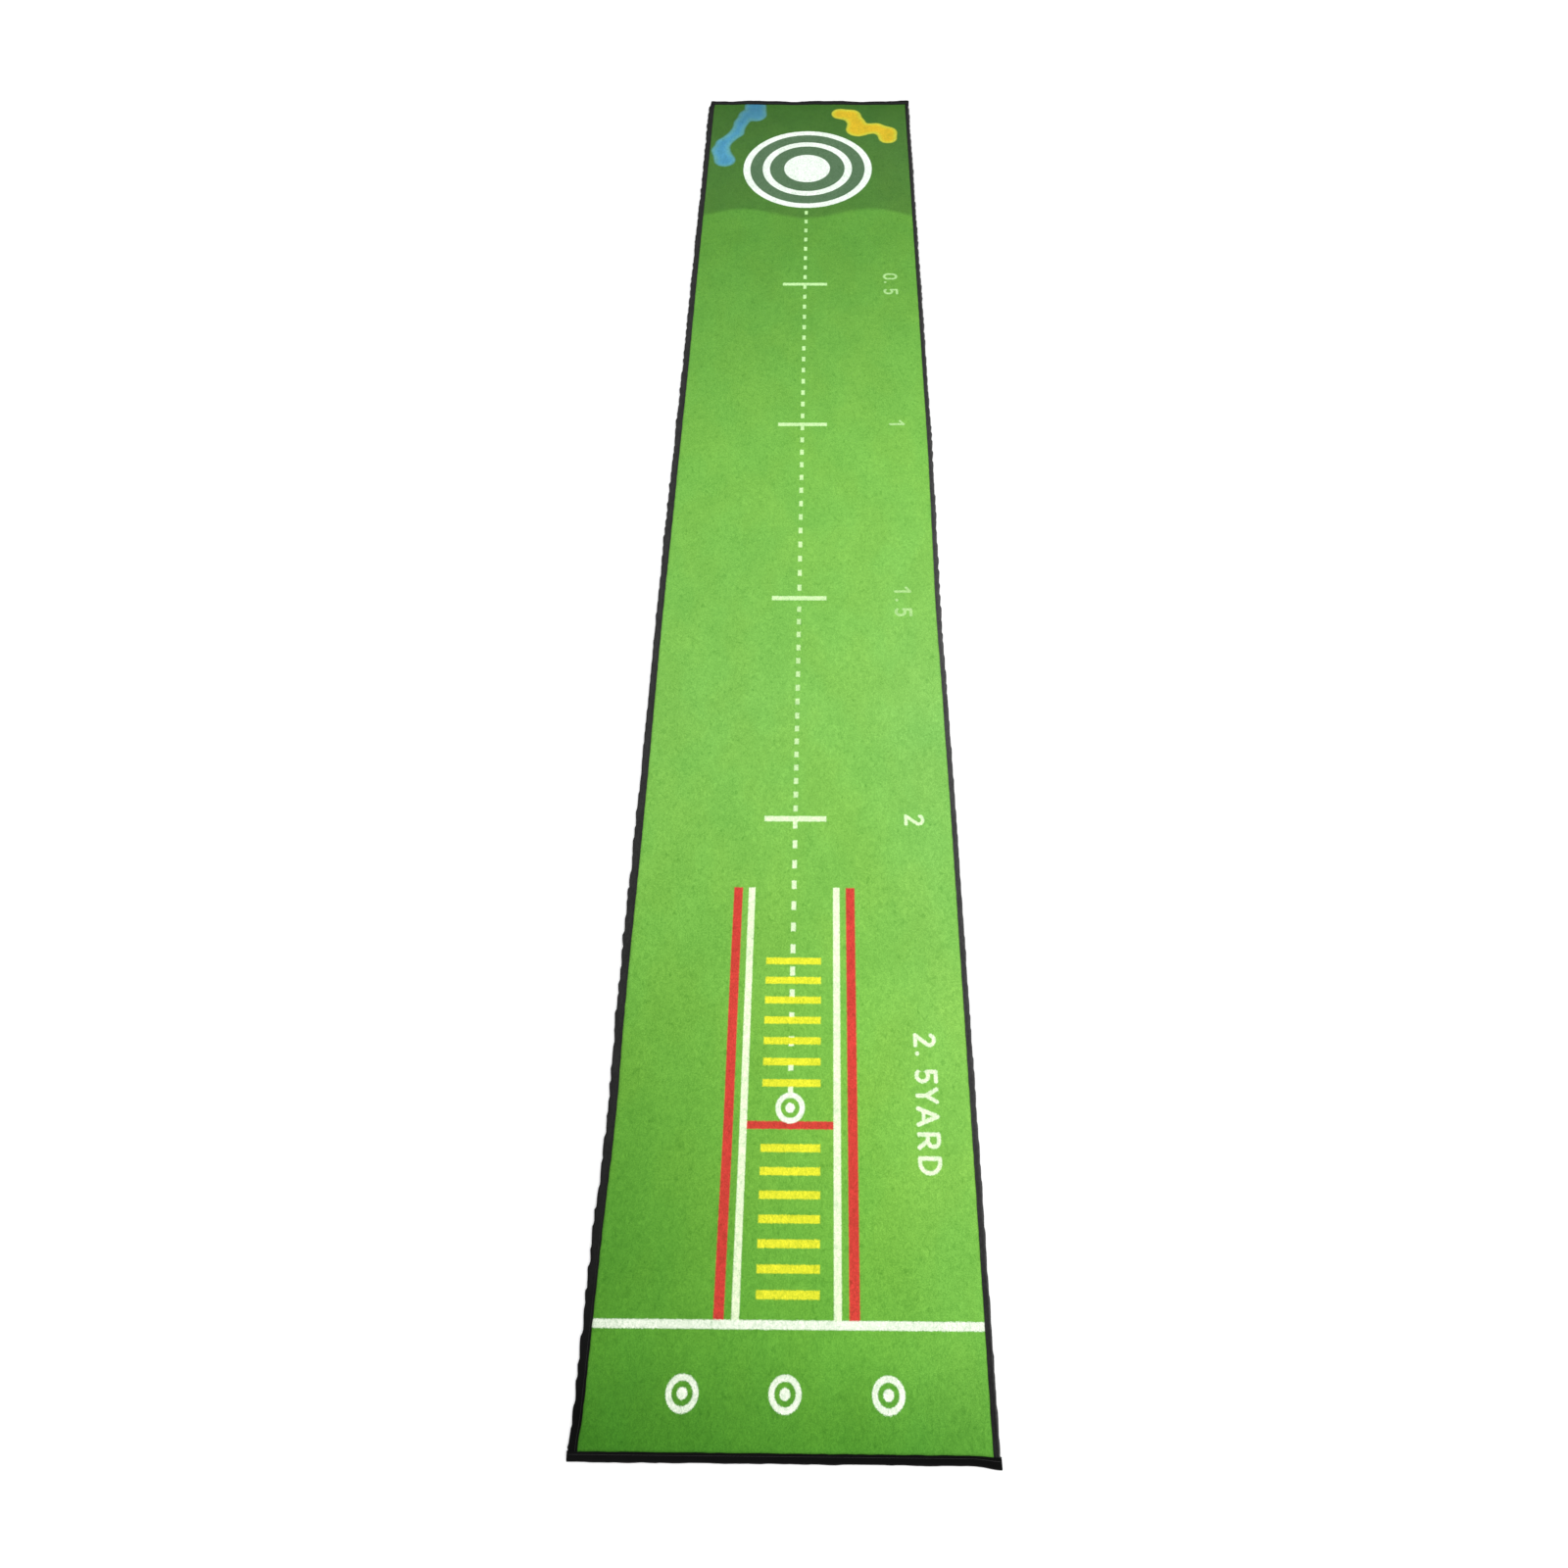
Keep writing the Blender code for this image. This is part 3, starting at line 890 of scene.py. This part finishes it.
def felt_material():
    """Grey needle felt, its fibres mostly lengthwise."""
    g = Graph("needle_felt")
    fibre = g.noise(g.scaled(g.uv("flat")[0], (700.0, 260.0, 1.0)), 1.0, 4.0, 0.7)
    colour = g.ramp(fibre, [(0.3, srgb(96, 97, 95)), (0.7, srgb(138, 138, 134))])
    return g.finish(Base_Color=colour, Roughness=g.between(fibre, 0.3, 0.7, 0.88, 0.98),
                    Normal=g.bump(fibre, 0.0003, 0.8))


def web_material():
    """Off-white hot-melt web."""
    g = Graph("adhesive_web")
    strand = g.noise(g.scaled(g.uv("flat")[0], (240.0, 240.0, 1.0)), 1.0, 3.0, 0.7)
    colour = g.ramp(strand, [(0.35, srgb(196, 190, 172)), (0.65, srgb(226, 222, 206))])
    return g.finish(Base_Color=colour, Roughness=g.between(strand, 0.3, 0.7, 0.45, 0.7),
                    Normal=g.bump(strand, 0.0002, 0.6))


velour = pile_material()
# the greys along each tape are painted sheen, and the right and near tapes' folds painted highlights
WOVEN = {
    "left": tape_material(
        "woven_left", [(-1.45, 6), (-1.05, 36), (-0.30, 48), (0.70, 42), (1.50, 30)]),
    "right": tape_material(
        "woven_right", [(-1.45, 32), (-1.10, 54), (-0.30, 70), (0.50, 48), (1.50, 30)], (0.0068, 66)),
    "near": tape_material("woven_near", [(-0.25, 8), (0.25, 6)], (0.010, 26)),
    "far": tape_material("woven_far", [(-0.25, 30), (0.25, 30)]),
}
thread = thread_material()
rubber = rubber_material()
felt = felt_material()
web = web_material()

# ------------------------------ heights of the sewn edge
EDGE_X = (X0 + LEG_L, X1 - LEG_R)    # inner edges of the side tapes
EDGE_Y = (Y0 + LEG_E, Y1 - LEG_E)    # inner edges of the end tapes
TAPE_LOW = 0.0004    # underside of a tape, over its bobbin thread
LAP = 0.00055    # room that one tape takes inside another
SIDE_SEAM_TOP = 0.0056    # top of a side tape at its seam
END_SEAM_TOP = 0.0057    # and of an end tape
CRUSHED = PILE_LOW + 0.0004    # pile held down under a tape
SHOULDER = 0.005    # how far in from a tape it stands up again
RIB_PITCH = 0.024    # square ribs under the sole
RIB_FOOT = 0.0021    # half a rib at its foot
RIB_CREST = 0.0012    # half a rib at its crest
RIB_TALL = 0.00045


def inside(x, y):
    """How far a point is inside the tapes' inner edges, negative under a tape."""
    across = np.minimum(x - EDGE_X[0], EDGE_X[1] - x)
    down = np.minimum(y - EDGE_Y[0], EDGE_Y[1] - y)
    return np.minimum(across, down)


def lapped(y):
    """1 where a side tape runs inside an end tape, 0 elsewhere."""
    return near_edge(EDGE_Y[1] - np.abs(y), 0.006)


def pile_height(x, y):
    """Crushed under the tapes, then a soft shoulder up to the brushed pile."""
    d = inside(x, y)
    start = 0.0001
    swell = 0.00016 * bump(d, 0.006, 0.004)
    brushed = (0.0001 * mottle(x, y, 0.011, 5) + 0.00008 * mottle(x, y, 0.034, 6)
               + 0.00005 * mottle(x, y, 0.0045, 7))
    full = CRUSHED + (PILE_TOP - CRUSHED) * np.sqrt(ramp((d - start) / SHOULDER)) + swell
    return np.where(d < start, CRUSHED, full + brushed * ramp((d - 0.001) / 0.008))


def rib_shape(t):
    """1 on a rib's crest, 0 between ribs."""
    near = np.abs(t - np.round(t / RIB_PITCH) * RIB_PITCH)
    return np.clip((RIB_FOOT - near) / (RIB_FOOT - RIB_CREST), 0, 1)


def rubber_height(x, y):
    """The sole: a square mesh of low ribs, stepped up inside the tapes."""
    field = RIB_TALL * (1 - np.maximum(rib_shape(x), rib_shape(y)))
    border = TAPE_LOW + TAPE_T + 0.0001 + LAP * lapped(y)
    return np.where(inside(x, y) < 0.0006, border, field)


def rib_lines(low, high, busy):
    """Grid lines at the foot and shoulder of each rib, with more of them beyond busy."""
    margin = 0.016
    first, last = math.ceil((low + margin) / RIB_PITCH), math.floor((high - margin) / RIB_PITCH)
    lines = [low, high]
    for k in range(first, last + 1):
        at = k * RIB_PITCH
        offsets = [RIB_CREST, RIB_FOOT]
        if abs(at) > busy:
            offsets += [0.0055, 0.0085]
        lines += [at + sign * o for o in offsets for sign in (-1, 1)]
    return lines


def clear_of(lines, edges, room):
    """Sorted grid lines, with those too near to a given edge left out."""
    kept = [t for t in lines if all(abs(t - e) > room for e in edges)]
    return np.array(sorted(kept + list(edges)))


FINE_STEPS = (-0.0034, -0.0025, -0.0016, -0.0008, 0.0, 0.0008, 0.0016, 0.0026, 0.0038, 0.0055, 0.0085)


def spread_lines(low, high, step, edges):
    """Even grid lines, with fine ones at the given edges (each step counted inwards)."""
    inwards = [(e, 1 if e < (low + high) / 2 else -1) for e in edges]
    fine = [round(e + sign * o, 6) for e, sign in inwards for o in FINE_STEPS]
    count = round((high - low) / step)
    even = [low + (high - low) * k / count for k in range(count + 1)]
    even = [t for t in even if all(abs(t - f) > step * 0.35 for f in fine)]
    lines = [low]
    for t in sorted(fine + even + [high]):
        if t <= high and t - lines[-1] > 0.0003:
            lines.append(t)
    lines[-1] = high
    return np.array(lines)


def flat_at(height):
    return lambda x, y: 0 * x + height


# ------------------------------ the laminate
# the folds squeeze the cut edges, so each layer stops a little inside the round of the tape
CUT_X, CUT_Y = CORE_X - 0.0017, CORE_Y - 0.0017
PLAIN_STEP = 0.060    # grid of a plain face, away from the edges
pile = slab("velour_sheet",
            spread_lines(-CUT_X, CUT_X, 0.0046, EDGE_X),
            spread_lines(-CUT_Y, CUT_Y, 0.0046, EDGE_Y),
            pile_height, PLAIN_STEP, flat_at(PILE_LOW), True, velour, "printed_pile")


def sole_edges(edges):
    """Two grid lines just inside each tape, where the sole steps up."""
    low, high = edges
    return [low + 0.0004, low + 0.0008, high - 0.0008, high - 0.0004]


rubber_x = clear_of(rib_lines(-CUT_X, CUT_X, 0.20), sole_edges(EDGE_X), 0.0008)
rubber_y = clear_of(rib_lines(-CUT_Y, CUT_Y, 1.40),
                    sole_edges(EDGE_Y) + [EDGE_Y[0] - 0.003, EDGE_Y[1] + 0.003], 0.0008)
sole = slab("grip_sole", rubber_x, rubber_y, rubber_height, PLAIN_STEP,
            flat_at(RUBBER_TOP), False, rubber, "rubber_backing")

inner_x = sparse(-CUT_X + 0.001, CUT_X - 0.001, 0.016)
inner_y = sparse(-CUT_Y + 0.001, CUT_Y - 0.001, 0.016)
felt_sheet = slab("felt_sheet", inner_x, inner_y, flat_at(FELT_TOP), PLAIN_STEP,
                  flat_at(FELT_LOW), True, felt, "felt_interlining")
web_sheet = slab("web_sheet", inner_x, inner_y, flat_at(WEB_TOP), PLAIN_STEP,
                 flat_at(WEB_LOW), True, web, "adhesive_web")


# ------------------------------ the binding
ROLL = 0.0022    # radius of the fold
SIDE_RINGS = 860    # how finely a tape is cut along its length
END_RINGS = 230


def section(leg, low, seam_top, lip_top):
    """Outer face of a folded tape in its own plane: (in from the fold, height).

    From the top leg's inner edge, over the fold, to the bottom leg's inner edge.
    """
    middle = (low + seam_top) / 2
    rise = (seam_top - low) / 2
    top = [(leg, lip_top), (leg - 0.0008, lip_top - 0.00002), (leg - 0.0017, lip_top - 0.00018),
           (leg - 0.0025, seam_top), (leg - SEAM, seam_top - 0.00012), (leg - 0.0036, seam_top),
           (leg - 0.0046, seam_top + 0.00022), (0.6 * (leg - 0.0046) + 0.4 * ROLL, seam_top + 0.00034)]
    roll = []
    for k in range(9):
        turn = math.radians(90 + 180 * k / 8)
        roll.append((ROLL + ROLL * math.cos(turn), middle + rise * math.sin(turn)))
    under = [(0.5 * leg, low), (leg - 0.0036, low), (leg - SEAM, low + 0.00008),
             (leg - 0.0024, low), (leg, low)]
    return np.array(top + roll + under)


def tape_rings(along, leg, low, seam_top, lip_top, pucker, lips, shut, place):
    """Rings of a folded tape along its edge; place() puts (along, inward, height) in the mat.

    pucker is how far the fold stands out, lips how far the inner edge wavers, and shut is
    1 along the tape and falls towards 0 where an end is pinched closed.
    """
    rings, uvs = [], []
    for k, s in enumerate(along):
        outer = section(leg, low[k], seam_top[k], lip_top[k])
        upper = outer[:, 1] > low[k] + 0.002
        free = np.clip((leg - SEAM - outer[:, 0]) / (leg - SEAM), 0, 1)    # 1 at the fold
        lip = np.clip((outer[:, 0] - (leg - SEAM)) / SEAM, 0, 1) * upper
        outer[:, 0] += -pucker[k] * free ** 0.7 + lips[k] * lip
        outer[:, 1] += 0.18 * pucker[k] * np.sin(np.pi * free) * upper
        middle = (low[k] + seam_top[k]) / 2
        outer[:, 1] = middle + (outer[:, 1] - middle) * shut[k]
        step = np.gradient(outer, axis=0)
        normal = np.stack([-step[:, 1], step[:, 0]], axis=1)
        normal /= np.linalg.norm(normal, axis=1)[:, None]
        inner = outer + normal * TAPE_T
        loop = np.concatenate([outer, inner[::-1]])
        run = np.concatenate([[0], np.cumsum(np.linalg.norm(np.diff(outer, axis=0), axis=1))])
        rings.append(place(np.full(len(loop), s), loop[:, 0], loop[:, 1]))
        uvs.append(np.stack([np.full(len(loop), s), np.concatenate([run, run[::-1]])], axis=1))
    return np.array(rings), np.array(uvs), float(run[-1])


def bound(side, rings, uvs, backward):
    """The tape's object; backward turns its rings round so that it faces outwards."""
    if backward:
        rings, uvs = rings[::-1], uvs[::-1]
    return loft("tape_" + side, rings, uvs, WOVEN[side], "binding_tape_" + side, folded=True)


def side_tape(side, edge, sign, leg, strength, far_strength, calm, seed):
    """A side tape; sign is +1 where inwards is +X. Its puckers grow to far_strength.

    calm is how much flatter it lies a little way before the middle.
    """
    s = np.arange(-CORE_Y, CORE_Y + 1e-9, 2 * CORE_Y / SIDE_RINGS)
    strength = strength + (far_strength - strength) * ramp((s + 0.5) / 0.5)
    strength = strength * (1 - calm * bump(s, -0.36, 0.24))
    pucker = strength * (0.85 + 0.30 * wander(s, 0.011, seed) + 0.45 * wander(s, 0.034, seed + 1)
                         + 1.15 * scallops(s, 0.017, 0.034, seed + 5))
    pucker = np.maximum(pucker, 0) * (1 - lapped(s))
    lips = 0.00028 * wander(s, 0.009, seed + 2)
    seam_top = SIDE_SEAM_TOP + 0.0001 * wander(s, 0.021, seed + 3)
    lip_top = seam_top + 0.00042 + 0.00012 * wander(s, 0.012, seed + 4) - 0.0004 * lapped(s)
    low = TAPE_LOW + LAP * lapped(s)

    def place(at, inward, height):
        return np.stack([edge + sign * inward, at, height], axis=1)

    rings, uvs, width = tape_rings(s, leg, low, seam_top, lip_top, pucker, lips, np.ones(len(s)), place)
    return bound(side, rings, uvs, sign > 0), width


def over_side(s):
    """1 where an end tape lies over a side tape, 0 between them."""
    return ramp(1.6 * near_edge(np.minimum(s - X0, X1 - s), 0.016))


def end_tape(side, edge, sign, leg, strength, seed):
    """An end tape; sign is +1 where inwards is +Y. It laps over both side tapes."""
    pinch = 0.0016    # length of a closed end
    tuck = pinch * np.sin(np.linspace(0, math.pi / 2, 7))[1:]
    s = np.concatenate([X0 - tuck[::-1], np.linspace(X0, X1, END_RINGS), X1 + tuck])
    past = np.maximum(X0 - s, s - X1) / (pinch + 0.00001)
    shut = np.sqrt(1 - np.clip(past, 0, 0.995) ** 2)
    over = over_side(s)
    pucker = strength * (0.45 + 0.5 * wander(s, 0.015, seed) + 0.6 * wander(s, 0.040, seed + 1)
                         + 0.4 * scallops(s, 0.020, 0.040, seed + 5))
    pucker = np.maximum(pucker, 0)
    lips = 0.00025 * wander(s, 0.010, seed + 2)
    seam_top = END_SEAM_TOP + LAP * over + 0.0001 * wander(s, 0.020, seed + 3)
    lip_top = seam_top + 0.0004 + 0.0001 * wander(s, 0.012, seed + 4) - 0.0002 * over
    low = np.full(len(s), TAPE_LOW - 0.0001)

    def place(at, inward, height):
        return np.stack([at, edge + sign * inward, height], axis=1)

    rings, uvs, width = tape_rings(s, leg, low, seam_top, lip_top, pucker, lips, shut, place)
    return bound(side, rings, uvs, sign < 0), width


tapes = {
    "left": side_tape("left", X0, 1, LEG_L, 0.0016, 0.0017, 0.7, 11),
    "right": side_tape("right", X1, -1, LEG_R, 0.0007, 0.0014, 0.0, 23),
    "near": end_tape("near", Y0, 1, LEG_E, 0.0007, 37),
    "far": end_tape("far", Y1, -1, LEG_E, 0.0009, 51),
}


# ------------------------------ the seams
def seam_thread(name, node, along, place, over):
    """One thread of a lockstitch: it runs over the tape and dips at each needle hole.

    over is 1 for the thread above and -1 for the one below.
    """
    per, sides = 7, 6    # points in a stitch and round the thread
    n = int((along[1] - along[0]) / STITCH) * per + 1
    s = np.linspace(along[0], along[1], n)
    phase = (np.arange(n) % per) / per
    dip = np.where(phase == 0, 1.0, 0.0)
    arch = np.sin(np.pi * np.clip((phase - 0.06) / 0.88, 0, 1)) ** 0.5
    height = over * (-0.00042 * dip + 0.0001 * arch)
    sway = 0.0001 * np.sin(2 * np.pi * phase)
    turn = np.linspace(0, 2 * np.pi, sides + 1)[:-1]
    rings, uvs = [], []
    for k in range(n):
        at = np.full(sides, s[k])
        rings.append(place(at, sway[k] + THREAD_R * np.cos(turn), height[k] + THREAD_R * np.sin(turn)))
        uvs.append(np.stack([at, THREAD_R * turn], axis=1))
    return loft(name, np.array(rings), np.array(uvs), thread, node)


def sew(side, seam_top, along, place):
    """Both threads of one seam; place(s, across, height, over) puts a point in the mat."""
    for kind, level, over in (("needle", seam_top + THREAD_R, 1), ("bobbin", BOBBIN_LEVEL, -1)):
        def put(s, across, height, level=level, over=over):
            return place(s, across, level + height, over)
        threads[kind + side] = seam_thread(kind + "_" + side, kind + "_thread_" + side, along, put, over)


def sew_side(side, x):
    def place(s, across, height, over):
        return np.stack([x + across, s, height], axis=1)
    sew(side, SIDE_SEAM_TOP, (-CORE_Y + 0.004, CORE_Y - 0.004), place)


def sew_end(side, y):
    def place(s, across, height, over):
        return np.stack([s, y - across, height + LAP * over_side(s) * (over > 0)], axis=1)
    sew(side, END_SEAM_TOP, (X0 + 0.001, X1 - 0.001), place)


threads = {}
sew_side("left", EDGE_X[0] - SEAM)
sew_side("right", EDGE_X[1] + SEAM)
sew_end("near", EDGE_Y[0] - SEAM)
sew_end("far", EDGE_Y[1] + SEAM)

# ------------------------------ each tape's length and threads, looked up and left unused
for side, (tape, width) in tapes.items():
    length = 2 * CORE_Y if side in ("left", "right") else X1 - X0
    threads["needle" + side]
    threads["bobbin" + side]

# ------------------------------ floor, light, camera
FLOOR_HALF = 30
corners = [(-FLOOR_HALF, -FLOOR_HALF, 0), (FLOOR_HALF, -FLOOR_HALF, 0),
           (FLOOR_HALF, FLOOR_HALF, 0), (-FLOOR_HALF, FLOOR_HALF, 0)]
floor_mesh = bpy.data.meshes.new("floor")
floor_mesh.from_pydata(corners, [], [(0, 1, 2, 3)])
floor = bpy.data.objects.new("floor", floor_mesh)
bpy.context.scene.collection.objects.link(floor)
floor_graph = Graph("studio_floor")
floor_mesh.materials.append(floor_graph.finish(Base_Color=(0.93, 0.93, 0.93, 1.0), Roughness=0.9))

world = bpy.data.worlds.new("studio")
bpy.context.scene.world = world
world.use_nodes = True
surround = world.node_tree.nodes["Background"]
surround.inputs["Color"].default_value = (1.0, 1.0, 1.0, 1.0)
surround.inputs["Strength"].default_value = 1.0


def softbox(name, place, aim, size, watts):
    lamp = bpy.data.lights.new(name, "AREA")
    lamp.shape = "RECTANGLE"
    lamp.size, lamp.size_y = size
    lamp.energy = watts
    box = bpy.data.objects.new(name, lamp)
    bpy.context.scene.collection.objects.link(box)
    box.location = place
    box.rotation_euler = (Vector(aim) - Vector(place)).to_track_quat("-Z", "Y").to_euler()


softbox("key", (1.8, -1.2, 3.2), (0.0, -0.2, 0.0), (2.0, 3.6), 62)
softbox("fill", (-2.0, 1.2, 3.0), (0.0, 0.3, 0.0), (2.5, 3.5), 16)

# the photographer stands at the near end and looks down along the mat
EYE = (0.0045, -1.1877, 1.3278 + PILE_TOP)
TURN = (25.1605, 0.4829, 1.2719)    # degrees about X, Y and Z
LENS = 19.62    # millimetres, on a 36 mm sensor
camera_data = bpy.data.cameras.new("photo_view")
camera_data.lens = LENS
camera_data.sensor_width = 36.0
camera_data.clip_start = 0.01
camera = bpy.data.objects.new("photo_view", camera_data)
bpy.context.scene.collection.objects.link(camera)
camera.location = EYE
camera.rotation_euler = [math.radians(a) for a in TURN]
bpy.context.scene.camera = camera
bpy.context.scene.view_settings.view_transform = "Standard"
bpy.context.scene.view_settings.look = "None"
